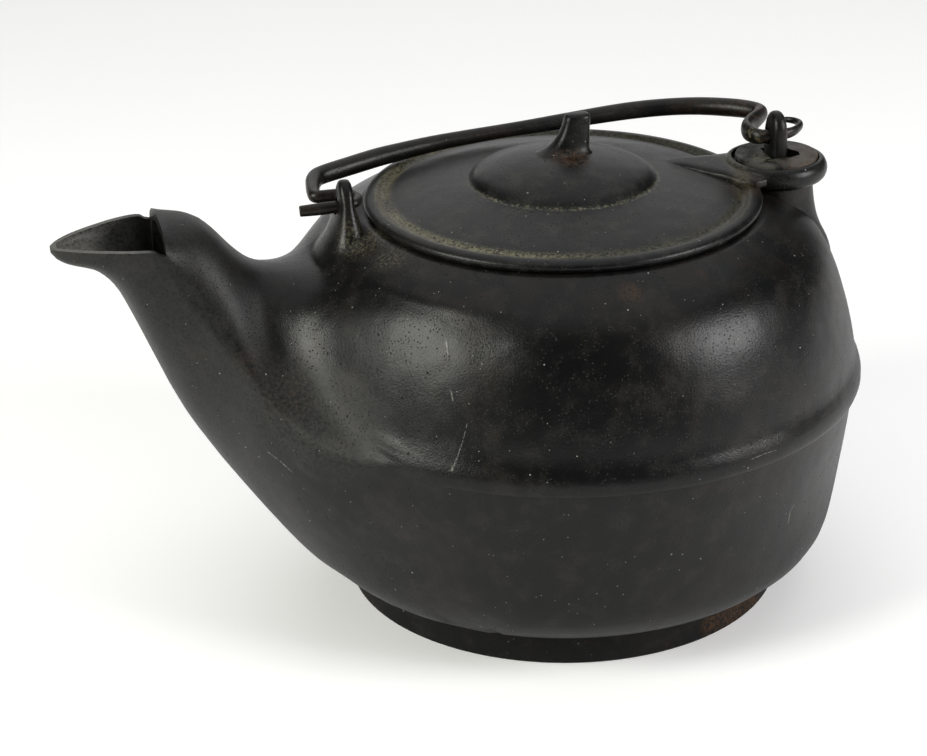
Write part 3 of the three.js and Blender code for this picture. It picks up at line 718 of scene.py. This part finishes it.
def arm():
    place_y, half, under, top = (smooth_curve(ARM, column) for column in (1, 2, 3, 4))
    rings = []
    for x in steps(ARM[0][0], ARM[-1][0], ARM_RINGS):
        ring = []
        middle, rise = (under(x) + top(x)) / 2, (top(x) - under(x)) / 2
        for place in level_ring(0, 0, half(x), rise, ARM_POWER, SMALL_SIDES):
            ring.append(Vector((x, place_y(x) + place.x, LID_LOW + middle + place.y)))
        rings.append(ring)
    return loft(rings)


def boss():
    foot = LID_LOW + BOSS_LIFT
    inner = BORE_RADIUS - BORE_SPARE
    outline = [(inner, foot)] + [(BOSS_RADIUS * r, foot + BOSS_HEIGHT * z) for r, z in BOSS]
    return turned([*outline, (inner, foot + BOSS_HEIGHT), (inner, foot)], BOSS_STEPS, REAR_X)


def lid(iron):
    top = LID_LOW + BOSS_LIFT + BOSS_HEIGHT
    ledge = top - COUNTERBORE_DEPTH
    counterbore = drilled(REAR_X, 0, ledge + COUNTERBORE_DRILL / 2, COUNTERBORE_RADIUS, COUNTERBORE_DRILL)
    bore = drilled(REAR_X, 0, ledge, BORE_RADIUS, BORE_DRILL)
    bm = combine(lid_plate(), ("UNION", knob()), ("UNION", arm()), ("UNION", boss()),
                 ("DIFFERENCE", counterbore), ("DIFFERENCE", bore))
    piece = new_piece("lid", bm, "lid", iron)
    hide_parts("swing_lid")


# Washer

def washer(iron):
    centre = REAR_X + WASHER_SHIFT
    low, high = WASHER_LOW, WASHER_HIGH
    foot = [(WASHER_RADIUS + r, low + z) for r, z in WASHER_FOOT]
    brow = [(WASHER_RADIUS + r, high + z) for r, z in WASHER_BROW]
    disc = turned([(0, low), *foot, *brow, (0, high)], ROUND_STEPS, centre)
    ends = (low - SLOT_SPARE, high + SLOT_SPARE)
    slot = loft([[Vector((REAR_X + x, y, z)) for x, y in SLOT] for z in ends])
    bm = combine(disc, ("DIFFERENCE", slot))
    piece = new_piece("washer", bm, "kettle", iron, 30)
    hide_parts("swivel_washer")


# Bail

def catmull(rows, i, t):
    """A smooth step between the rows i and i + 1."""
    a, b, c, d = (rows[min(max(i + k, 0), len(rows) - 1)] for k in (-1, 0, 1, 2))
    values = []
    for p, q, r, s in zip(a, b, c, d):
        square = (2 * p - 5 * q + 4 * r - s) * t * t
        cube = (3 * q - p - 3 * r + s) * t ** 3
        values.append(0.5 * (2 * q + (r - p) * t + square + cube))
    return values


def bail(iron):
    sideways = Vector((0, 1, 0))
    rise = BAIL_AXIS.cross(sideways) * math.cos(BAIL_FOLD) + sideways * math.sin(BAIL_FOLD)
    across = BAIL_AXIS.cross(rise)
    middle = (FRONT_HINGE + REAR_HINGE) / 2
    stops = [catmull(BAIL, i, t / ROD_SPAN) for i in range(len(BAIL) - 1) for t in range(ROD_SPAN)]
    stops.append(list(BAIL[-1]))
    rings = []
    for k, (along, up, flat, deep) in enumerate(stops):
        before, after = stops[max(k - 1, 0)], stops[min(k + 1, len(stops) - 1)]
        run = Vector((after[0] - before[0], after[1] - before[1])).normalized()
        outward = BAIL_AXIS * -run.y + rise * run.x
        centre = middle + BAIL_AXIS * along + rise * up
        rings.append([centre + outward * flat * math.cos(turn) + across * deep * math.sin(turn)
                      for turn in steps(0, 2 * math.pi, ROD_SIDES)[:-1]])
    bm = loft(rings)
    ends = [face for face in bm.faces if len(face.verts) == ROD_SIDES]
    edges = [edge for face in ends for edge in face.edges]
    bmesh.ops.bevel(bm, geom=edges, offset=ROD_ROUND, segments=3, profile=0.5, affect="EDGES", material=-1)
    piece = new_piece("bail", bm, "bail", iron)
    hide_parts("bail_handle")


# Camera, floor and light

# The photograph's viewpoint: place in metres, right and up directions, and focal length and width in pixels
VIEW_PLACE = Vector((-0.2768134, -0.9054158, 0.5101826))
VIEW_RIGHT = Vector((0.9661638, -0.25745315, -0.01566471))
VIEW_UP = Vector((0.11954262, 0.393146, 0.91167197))
FOCAL_LENGTH = 2500
PHOTO_WIDTH = 927
SENSOR_WIDTH = 36


def camera_stand():
    camera = bpy.data.cameras.new("camera")
    camera.sensor_fit = "HORIZONTAL"
    camera.sensor_width = SENSOR_WIDTH
    camera.lens = SENSOR_WIDTH * FOCAL_LENGTH / PHOTO_WIDTH
    stand = bpy.data.objects.new("camera", camera)
    turn = Matrix((VIEW_RIGHT, VIEW_UP, VIEW_RIGHT.cross(VIEW_UP))).transposed()
    stand.matrix_world = Matrix.Translation(VIEW_PLACE) @ turn.to_4x4()
    bpy.context.scene.collection.objects.link(stand)
    bpy.context.scene.camera = stand


LIGHT_AIM = Vector((0, 0, 0.1))
WORLD_STRENGTH = 0.05
PAPER_REACH = 6000
PAPER_COLOUR = (0.93, 0.93, 0.93, 1)
PAPER_ROUGHNESS = 0.9
PAPER_GLOW = 0.16
WHITE = (1, 1, 1, 1)
SOFTBOXES = [
    # name, place in metres, size, power, colour
    ("left_softbox", (-1.2, -0.32, 0.68), 0.6, 16.5, (1, 1, 0.92)),
    ("right_softbox", (1.02, -0.76, 0.64), 0.55, 15.8, (1, 0.99, 0.99)),
    ("top_softbox", (0.1, 0.3, 2.2), 3, 26, (0.99, 1, 1)),
    ("back_softbox", (0.5, 2.1, 1), 2.2, 12, (1, 1, 1)),
]


def studio():
    bm = bmesh.new()
    bmesh.ops.create_grid(bm, x_segments=1, y_segments=1, size=PAPER_REACH)
    floor = bpy.data.objects.new("floor", new_mesh("floor", bm))
    bpy.context.scene.collection.objects.link(floor)
    paper = bpy.data.materials.new("white_paper")
    paper.use_nodes = True
    shader = paper.node_tree.nodes["Principled BSDF"]
    shader.inputs["Base Color"].default_value = PAPER_COLOUR
    shader.inputs["Roughness"].default_value = PAPER_ROUGHNESS
    shader.inputs["Emission Color"].default_value = WHITE
    shader.inputs["Emission Strength"].default_value = PAPER_GLOW
    floor.data.materials.append(paper)
    world = bpy.data.worlds.new("studio")
    world.use_nodes = True
    background = world.node_tree.nodes["Background"]
    background.inputs["Color"].default_value = WHITE
    background.inputs["Strength"].default_value = WORLD_STRENGTH
    bpy.context.scene.world = world
    bpy.context.scene.view_settings.view_transform = "Standard"
    for name, place, size, power, colour in SOFTBOXES:
        light = bpy.data.lights.new(name, "AREA")
        light.color = colour
        light.shape = "SQUARE"
        light.size = size
        light.energy = power
        lamp = bpy.data.objects.new(name, light)
        lamp.visible_camera = False
        turn = (LIGHT_AIM - Vector(place)).to_track_quat("-Z", "Y").to_matrix()
        lamp.matrix_world = Matrix.Translation(place) @ turn.to_4x4()
        bpy.context.scene.collection.objects.link(lamp)


# Finishes

BLACK = (0.0032, 0.0035, 0.0034, 1)
BROWN = (0.0095, 0.0072, 0.0056, 1)
DUST = (0.026, 0.027, 0.0245, 1)
FILM = (0.075, 0.073, 0.064, 1)
# Pale scale in the spout's mouth, made lighter than the deposit alone as painted light for its shaded inside
SCALE = (0.2, 0.195, 0.175, 1)
RESIDUE = (0.15, 0.14, 0.09, 1)
RUST = (0.075, 0.039, 0.02, 1)
CHALK = (0.32, 0.32, 0.29, 1)

# Gloss of the castings and of the forged bail
CAST_GLOSS = 0.22
FORGED_GLOSS = 0.26
# The skin's plain roughness, and the sizes of what covers it, in millimetres
SKIN_ROUGHNESS = 0.22
CLOUD_SIZE = 45
SWELL_SIZE = 26
MOTTLE_SIZE = 9
SAND_SIZE = 0.8
# Share of a soft spot's, patch's and scratch's reach over which it is full
SPOT_CORE = 0.4
PATCH_CORE = 0.3
SCRATCH_CORE = 0.4
# Radii between which residue fills the lid's groove and the seam round its dome: none, full, full, none
GROOVE = (67.6, 71, 74, 77)
DOME_SEAM = (36.8, 37.8, 38.4, 39.6)
# Heights over which the foot's rusty edge fades, and reaches over which the pale scale and painted light in
# the lip begin
FOOT_RUST_FADE = (13, 11)
LIP_SCALE_AND_PAINTED_LIGHT_FADE = (-165, -178)

# Soft patches of a finish: place, reach from it in millimetres, strength
SHOULDER_GRIME = [((-84, -14, 160), 15, 1), ((-78, -34, 159), 11, 0.7), ((84, 6, 172), 9, 1)]
SPOUT_RUST = [((-132, -40, 124), 15, 1), ((-123, -44, 112), 15, 1), ((-116, -40, 128), 12, 1)]
FOOT_RUST = [((38, -82, 6), 9, 1), ((50, -76, 5), 15, 1), ((60, -68, 3), 10, 1)]
SHOULDER_RUST = [((-1, -90, 157), 7, 0.5), ((30, -84, 159), 4, 0.3)]
KNOB_RUST = [((1, -8, 182), 11, 1)]
ARM_RUST = [((70, -20, 166), 14, 0.5)]
WASHER_RUST = [((108, -4, 172), 15, 1), ((96, -15, 170), 12, 0.7)]
WASHER_GRIME = [((84, -4, 173), 8, 1), ((98, 6, 173), 6, 1)]
KNUCKLE_GRIME = [((84, 4, 182), 8, 1)]
# Dusty line over the spout's root: its two ends and how far it spreads
ROOT_DUST = ((-120, -46, 106), (-106, -64, 104), 26)

# Knocks and scratches that catch the light: both ends in millimetres, and half the width
SCRATCHES = [
    ((-69.2, -78.6, 141.9), (-69.4, -81.6, 137.6), 0.45),
    ((-74.2, -77.3, 138.4), (-75.5, -77.8, 136.4), 0.4),
    ((-69.9, -87.7, 125.2), (-69.7, -89.2, 121.9), 0.4),
    ((-65.9, -95, 114.4), (-67.7, -95.6, 108.3), 0.2),
    ((-67.7, -95.6, 108.3), (-69.9, -96.1, 102.6), 0.25),
    ((-69.9, -96.1, 102.6), (-72.5, -96.9, 97.2), 0.34),
    ((-72.2, -96.8, 98.6), (-72.5, -96.9, 97.2), 0.7),
    ((-132.1, -42.2, 87.5), (-128.3, -46.7, 85.2), 0.33),
    ((-128.3, -46.7, 85.2), (-124.5, -50.5, 81.7), 0.36),
    ((62.9, -96.3, 54), (63.3, -97, 59.6), 0.28),
    ((63.3, -97, 59.6), (65.2, -96.1, 61.9), 0.28),
    ((39.3, -115.3, 94.6), (44.9, -113.2, 94.9), 0.2),
    ((44.9, -113.2, 94.9), (50.7, -110.8, 94.6), 0.2),
]


class Value:
    """A number that changes over the surface: each sum with it adds a Math node."""

    def __init__(self, paint, socket):
        self.paint = paint
        self.socket = socket

    def sum_of(self, operation, first, second=None):
        node = self.paint.node("ShaderNodeMath", {"operation": operation}, {0: first, 1: second})
        return Value(self.paint, node.outputs[0])

    def __add__(self, other):
        return self.sum_of("ADD", self, other)

    def __sub__(self, other):
        return self.sum_of("SUBTRACT", self, other)

    def __rsub__(self, other):
        return self.sum_of("SUBTRACT", other, self)

    def __mul__(self, other):
        return self.sum_of("MULTIPLY", self, other)

    def __pow__(self, other):
        return self.sum_of("POWER", self, other)

    def __or__(self, other):
        return self.sum_of("MAXIMUM", self, other)

    __radd__ = __add__
    __rmul__ = __mul__

    def rise(self, low, high):
        """0 up to the low value and 1 from the high one on, smoothly; a low above the high falls."""
        node = self.paint.node("ShaderNodeMapRange", {"interpolation_type": "SMOOTHSTEP"},
                               {"Value": self, "From Min": low, "From Max": high})
        return Value(self.paint, node.outputs[0])

    def band(self, low, full_low, full_high, high):
        """1 between the two full values, and 0 beyond the outer two."""
        return self.rise(low, full_low) * self.rise(high, full_high)


def highest(values):
    """The largest of several values at each spot."""
    top = values[0]
    for value in values[1:]:
        top = top | value
    return top


class Paint:
    """One material, its nodes and the place on the surface, in millimetres."""

    def __init__(self, name):
        self.material = bpy.data.materials.new(name)
        self.material.use_nodes = True
        self.tree = self.material.node_tree
        self.shader = self.tree.nodes["Principled BSDF"]
        coordinates = self.node("ShaderNodeTexCoord")
        self.place = self.vector("SCALE", coordinates.outputs["Object"], Scale=1 / MM)
        self.facing = self.split(coordinates.outputs["Normal"])
        self.x, self.y, self.z = self.split(self.place)

    def node(self, kind, settings={}, inputs={}):
        """A node with its settings, made first, and the values or links of its sockets."""
        node = self.tree.nodes.new(kind)
        for name, value in settings.items():
            setattr(node, name, value)
        for name, value in inputs.items():
            if isinstance(value, Value):
                value = value.socket
            if isinstance(value, bpy.types.NodeSocket):
                self.tree.links.new(value, node.inputs[name])
            elif value is not None:
                node.inputs[name].default_value = value
        return node

    def vector(self, operation, first, second=None, result="Vector", **inputs):
        node = self.node("ShaderNodeVectorMath", {"operation": operation}, {0: first, 1: second, **inputs})
        return node.outputs[result]

    def split(self, vector):
        node = self.node("ShaderNodeSeparateXYZ", {}, {0: vector})
        return [Value(self, socket) for socket in node.outputs]

    def noise(self, size, detail=3, roughness=0.5):
        """Cloudy noise round a half, with features of about the size in millimetres."""
        inputs = {"Vector": self.place, "Scale": 1 / size, "Detail": detail, "Roughness": roughness}
        node = self.node("ShaderNodeTexNoise", {}, inputs)
        return Value(self, node.outputs[0])

    def spots(self, size, share, radius, stretch=(1, 1, 1)):
        """1 in round spots, from the cells' size, the share of cells with a spot, and the spots' radius."""
        place = self.vector("MULTIPLY", self.place, stretch)
        node = self.node("ShaderNodeTexVoronoi", {}, {"Vector": place, "Scale": 1 / size})
        parts = self.node("ShaderNodeSeparateColor", {}, {0: node.outputs["Color"]})
        chance = Value(self, parts.outputs[0])
        distance = Value(self, node.outputs["Distance"])
        reach = radius / size
        return distance.rise(reach, SPOT_CORE * reach) * chance.rise(1 - share, 1 - 0.7 * share)

    def near(self, place, reach):
        """1 at a place and 0 from the reach on, in millimetres."""
        distance = Value(self, self.vector("DISTANCE", self.place, place, "Value"))
        return distance.rise(reach, PATCH_CORE * reach)

    def patches(self, rows):
        """Soft patches, from rows of place, reach and strength."""
        return highest([self.near(place, reach) * strength for place, reach, strength in rows])

    def near_line(self, start, end, reach):
        """1 along a line between two places, in millimetres, and 0 away from it."""
        run = Vector(end) - Vector(start)
        offset = self.vector("SUBTRACT", self.place, start)
        along = Value(self, self.vector("DOT_PRODUCT", offset, run, "Value"))
        share = self.node("ShaderNodeClamp", {}, {0: along * (1 / run.length_squared)}).outputs[0]
        foot = self.vector("ADD", self.vector("SCALE", run, Scale=Value(self, share)), start)
        distance = Value(self, self.vector("DISTANCE", self.place, foot, "Value"))
        return distance.rise(reach, SCRATCH_CORE * reach)

    def blend(self, share, first, second):
        """The first colour, and the second where the share is 1."""
        node = self.node("ShaderNodeMix", {"data_type": "RGBA"}, {0: share, 6: first, 7: second})
        return node.outputs[2]

    def finish(self, colour, roughness, height, gloss=CAST_GLOSS):
        """Feeds the shader: colour, roughness and the height of the skin in millimetres."""
        bump = self.node("ShaderNodeBump", {}, {"Strength": 1, "Distance": MM, "Height": height})
        self.tree.links.new(colour, self.shader.inputs["Base Color"])
        self.tree.links.new(roughness.socket, self.shader.inputs["Roughness"])
        self.tree.links.new(bump.outputs[0], self.shader.inputs["Normal"])
        self.shader.inputs["Specular IOR Level"].default_value = gloss
        return self.material


def seasoned(paint, *, dust, brown):
    """The black skin of the iron, more or less dusty and brown: its colour, roughness and height."""
    cloud, mottle = paint.noise(CLOUD_SIZE, 3), paint.noise(MOTTLE_SIZE, 4, 0.6)
    sand, swell = paint.noise(SAND_SIZE, 3, 0.65), paint.noise(SWELL_SIZE, 2)
    colour = paint.blend((cloud * 0.5 + mottle * 0.5).rise(0.47, 0.63) * brown, BLACK, BROWN)
    colour = paint.blend((mottle * 0.6 + sand * 0.4).rise(0.46, 0.72) * dust, colour, DUST)
    pits = paint.spots(1.15, 0.65, 0.33) * mottle.rise(0.38, 0.56)
    holes = paint.spots(4.5, 0.22, 0.55)
    roughness = SKIN_ROUGHNESS + 0.1 * mottle + 0.06 * sand + 0.3 * (pits | holes)
    height = 0.8 * swell + 0.1 * sand + 0.05 * mottle - 0.15 * pits - 0.32 * holes
    return colour, roughness, height


def specked(paint, colour, roughness, *, share):
    """A finish with specks of dust and short bright nicks, by the share of cells that hold one."""
    specks = paint.spots(4.2, share, 0.42) | paint.spots(1.7, 0.35 * share, 0.26)
    upright = paint.spots(5, 0.3 * share, 0.3, (1, 1, 0.14))
    level = paint.spots(5, 0.25 * share, 0.28, (0.2, 0.5, 1))
    nicks = upright | level
    marks = specks | nicks * 0.6
    return paint.blend(marks * 0.8, colour, CHALK), roughness + 0.35 * marks


def vessel_iron():
    paint = Paint("seasoned_vessel_iron")
    colour, roughness, height = seasoned(paint, dust=0.34, brown=0.8)
    crumbs = paint.noise(1.3, 4, 0.7)
    top = paint.z.rise(140, 158) * paint.noise(14, 3).rise(0.46, 0.6)
    colour = paint.blend(top * 0.5, colour, BROWN)
    # Pale scale on the lip's inward and upward faces: partly a deposit, partly painted light that lightens
    # the shaded inside
    inward, upward = (paint.y * paint.facing[1]).rise(-0.5, -3), paint.facing[2].rise(0.3, 0.7)
    mouth = paint.x.rise(*LIP_SCALE_AND_PAINTED_LIGHT_FADE) * (inward | upward)
    colour = paint.blend(mouth * crumbs.rise(0.25, 0.65) * 0.8, colour, SCALE)
    root = paint.near_line(*ROOT_DUST)
    colour = paint.blend(root * crumbs.rise(0.3, 0.65) * 0.22, colour, FILM)
    colour = paint.blend(paint.x.rise(-115, -150) * crumbs.rise(0.3, 0.6) * 0.4, colour, DUST)
    colour = paint.blend(paint.patches(SHOULDER_GRIME) * crumbs.rise(0.42, 0.72) * 0.55, colour, RESIDUE)
    colour = paint.blend(paint.patches(SPOUT_RUST) * crumbs.rise(0.46, 0.72) * 0.3, colour, RUST)
    edge = paint.z.rise(*FOOT_RUST_FADE) * paint.noise(7, 4).rise(0.5, 0.62) * 0.3
    rust = paint.patches(FOOT_RUST + SHOULDER_RUST) * crumbs.rise(0.4, 0.6) | edge * crumbs.rise(0.5, 0.65)
    colour = paint.blend(rust * 0.65, colour, RUST)
    colour, roughness = specked(paint, colour, roughness, share=0.14)
    scratched = highest([paint.near_line(*scratch) for scratch in SCRATCHES])
    colour = paint.blend(scratched * crumbs.rise(0.4, 0.54) * 0.42, colour, CHALK)
    low, spout, rear = paint.z.rise(75, 30), paint.x.rise(-112, -135), paint.x.rise(75, 118)
    sides = 0.16 * low + 0.14 * spout + 0.14 * rear
    worn = 0.3 * rust + 0.4 * paint.z.rise(13, 11.5) + 0.18 * root + sides
    return paint.finish(colour, roughness + worn, height + 0.08 * rust)


def lid_iron():
    paint = Paint("seasoned_lid_iron")
    colour, roughness, height = seasoned(paint, dust=0.75, brown=0.5)
    crumbs = paint.noise(1.2, 4, 0.7)
    radius = (paint.x ** 2 + paint.y ** 2) ** 0.5
    near_side = paint.y.rise(20, -20)
    groove = radius.band(*GROOVE)
    front = paint.x.rise(10, -55) * 0.7 + 0.3
    colour = paint.blend(groove * crumbs.rise(0.34, 0.64) * front, colour, RESIDUE)
    ring = radius.band(*DOME_SEAM) * near_side
    colour = paint.blend(ring * crumbs.rise(0.46, 0.64) * 0.7, colour, RESIDUE)
    knob_foot = paint.patches(KNOB_RUST) * paint.z.rise(186, 183)
    rust = (knob_foot | paint.patches(ARM_RUST)) * crumbs.rise(0.4, 0.66)
    colour = paint.blend(rust * 0.7, colour, RUST)
    colour, roughness = specked(paint, colour, roughness, share=0.3)
    return paint.finish(colour, roughness + 0.3 * rust + 0.04, height + 0.12 * groove * crumbs)


def washer_iron():
    paint = Paint("rusted_washer_iron")
    colour, roughness, height = seasoned(paint, dust=0.6, brown=1)
    crumbs, cloud = paint.noise(1.6, 4, 0.7), paint.noise(6, 3)
    colour = paint.blend(cloud.rise(0.35, 0.6) * 0.7, colour, FILM)
    colour = paint.blend(paint.patches(WASHER_RUST) * crumbs.rise(0.36, 0.64) * 0.8, colour, RUST)
    grime = paint.patches(WASHER_GRIME) * crumbs.rise(0.44, 0.66)
    colour = paint.blend(grime * 0.7, colour, RESIDUE)
    colour, roughness = specked(paint, colour, roughness, share=0.12)
    return paint.finish(colour, roughness + 0.15, height + 0.3 * crumbs)


def bail_iron():
    paint = Paint("forged_bail_iron")
    colour, roughness, height = seasoned(paint, dust=0.35, brown=1)
    cloud, crumbs = paint.noise(24, 4), paint.noise(2.4, 4, 0.65)
    colour = paint.blend(cloud.rise(0.42, 0.6) * 0.6, colour, BROWN)
    ends = paint.x.rise(70, 84) * 0.6 | paint.x.rise(-84, -96) * 0.35
    colour = paint.blend((ends | cloud.rise(0.52, 0.66) * 0.3) * crumbs.rise(0.48, 0.66) * 0.6, colour, RUST)
    knuckle = paint.patches(KNUCKLE_GRIME) * crumbs.rise(0.5, 0.62)
    colour = paint.blend(knuckle * 0.6, colour, RESIDUE)
    colour, roughness = specked(paint, colour, roughness, share=0.05)
    return paint.finish(colour, roughness + 0.06, height * 0.8 + 0.12 * crumbs, FORGED_GLOSS)


camera_stand()
studio()
vessel(vessel_iron())
lid(lid_iron())
washer(washer_iron())
bail(bail_iron())
